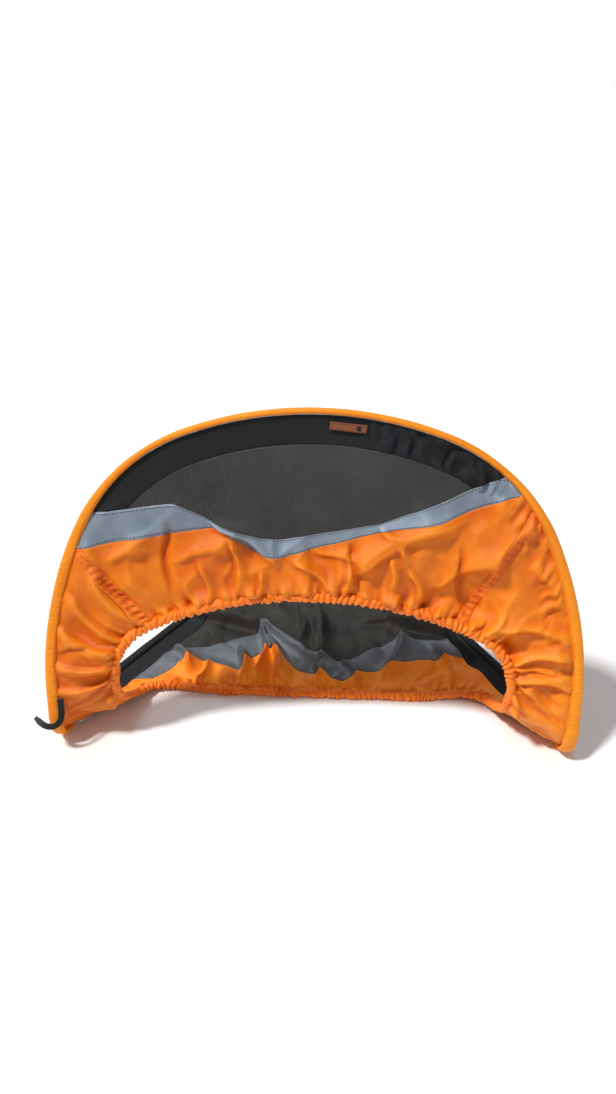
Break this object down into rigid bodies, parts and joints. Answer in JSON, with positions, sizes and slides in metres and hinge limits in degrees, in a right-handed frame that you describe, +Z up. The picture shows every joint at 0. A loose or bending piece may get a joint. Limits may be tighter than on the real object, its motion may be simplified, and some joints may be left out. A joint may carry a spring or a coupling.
{
  "type": "pop-up canopy for a child bicycle trailer",
  "caption": "Pop-up fabric canopy for a child bicycle trailer: a sprung hoop folded like an open clam, with mesh windows, reflective bands and a gathered elastic opening.",
  "frame": {"origin": "centre of the footprint on the ground, measured without the webbing tab", "axes": "+X to the right across the canopy, +Y to the rear, +Z up"},
  "size_m": [0.6651, 0.454, 0.4136],
  "materials": {
    "spring_wire": "bright drawn spring steel wire",
    "ferrule": "crimped steel tube",
    "sleeve": "yellow-orange nylon binding, satin",
    "shell": "light orange ripstop nylon, creased",
    "hem": "orange nylon casing gathered on elastic",
    "seam_tape": "puckered orange seam strip",
    "elastic": "white braided elastic cord",
    "mesh": "black see-through polyester net",
    "facing": "black close-knit facing strip",
    "reflective": "silver-grey retroreflective cloth",
    "label": "plain woven damask label, no lettering",
    "webbing": "black narrow woven webbing"
  },
  "bodies": {
    "rear_half": {"spring_hoop_rear": "spring_wire", "spring_tips": "spring_wire", "splice_ferrule": "ferrule", "sleeve_rear": "sleeve", "sleeve_tip_left": "sleeve", "sleeve_tip_right": "sleeve", "hem_rear": "hem", "hem_end_left": "hem", "hem_end_right": "hem", "elastic_rear": "elastic", "elastic_ends": "elastic", "tip_gusset_left": "shell", "tip_gusset_right": "shell", "skirt_rear": "shell", "mesh_panel_rear": "mesh", "facing_rear": "facing", "reflective_band_rear": "reflective"},
    "front_half": {"spring_hoop_front": "spring_wire", "sleeve_front": "sleeve", "hem_front": "hem", "elastic_front": "elastic", "side_gusset_left": "shell", "side_gusset_right": "shell", "skirt_front": "shell", "seam_strip_left": "seam_tape", "seam_strip_right": "seam_tape", "mesh_window_front": "mesh", "mesh_facing_front": "facing", "reflective_band_front": "reflective", "woven_label": "label", "pull_tab": "webbing"}
  },
  "joints": [
    {"name": "clam_fold", "type": "hinge", "parent": "rear_half", "child": "front_half", "pos_m": [0, -0.21037, 0.01769], "axis": [1, 0, 0], "range_deg": [-70, 40], "stiffness_Nm_per_rad": 3, "springref_deg": 2.86, "deforming": ["spring_tips", "sleeve_tip_left", "sleeve_tip_right", "hem_end_left", "hem_end_right", "elastic_ends", "tip_gusset_left", "tip_gusset_right"]}
  ]
}
